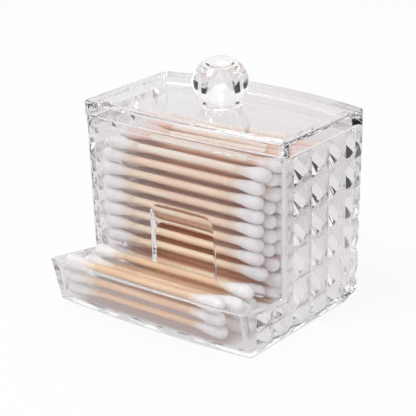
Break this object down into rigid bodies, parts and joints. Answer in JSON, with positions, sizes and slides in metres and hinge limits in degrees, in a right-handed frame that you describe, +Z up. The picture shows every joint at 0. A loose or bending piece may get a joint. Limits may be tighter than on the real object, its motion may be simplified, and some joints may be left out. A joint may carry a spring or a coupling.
{
  "type": "cotton swab holder",
  "caption": "Clear faceted box for cotton swabs, with a lift-off knobbed lid, a finger notch and an open dispensing tray in front.",
  "frame": {"origin": "middle of the whole outline, on the plane that the box stands on", "axes": "+Z up, the dispensing tray faces -Y, +X runs along the swabs"},
  "size_m": [0.093, 0.078, 0.0876],
  "materials": {
    "clear_plastic": "clear moulded polystyrene, polished",
    "clear_knob": "clear moulded plastic with a hollow core, polished",
    "stick_wood": "bare turned wood, fine straight grain",
    "cotton": "wound cotton wool, matt"
  },
  "bodies": {
    "holder": {"box_body": "clear_plastic", "sticks_layer_01": "stick_wood", "sticks_layer_02": "stick_wood", "sticks_layer_03": "stick_wood", "sticks_layer_04": "stick_wood", "sticks_layer_05": "stick_wood", "sticks_layer_06": "stick_wood", "sticks_layer_07": "stick_wood", "sticks_layer_08": "stick_wood", "sticks_layer_09": "stick_wood", "sticks_layer_10": "stick_wood", "sticks_layer_11": "stick_wood", "buds_layer_01": "cotton", "buds_layer_02": "cotton", "buds_layer_03": "cotton", "buds_layer_04": "cotton", "buds_layer_05": "cotton", "buds_layer_06": "cotton", "buds_layer_07": "cotton", "buds_layer_08": "cotton", "buds_layer_09": "cotton", "buds_layer_10": "cotton", "buds_layer_11": "cotton", "tray_sticks": "stick_wood", "tray_buds": "cotton"},
    "lid": {"lid": "clear_plastic", "lid_knob": "clear_knob"}
  },
  "joints": [
    {"name": "lid_lift", "type": "slide", "parent": "holder", "child": "lid", "axis": [0, 0, 1], "range_m": [0, 0.04]}
  ]
}
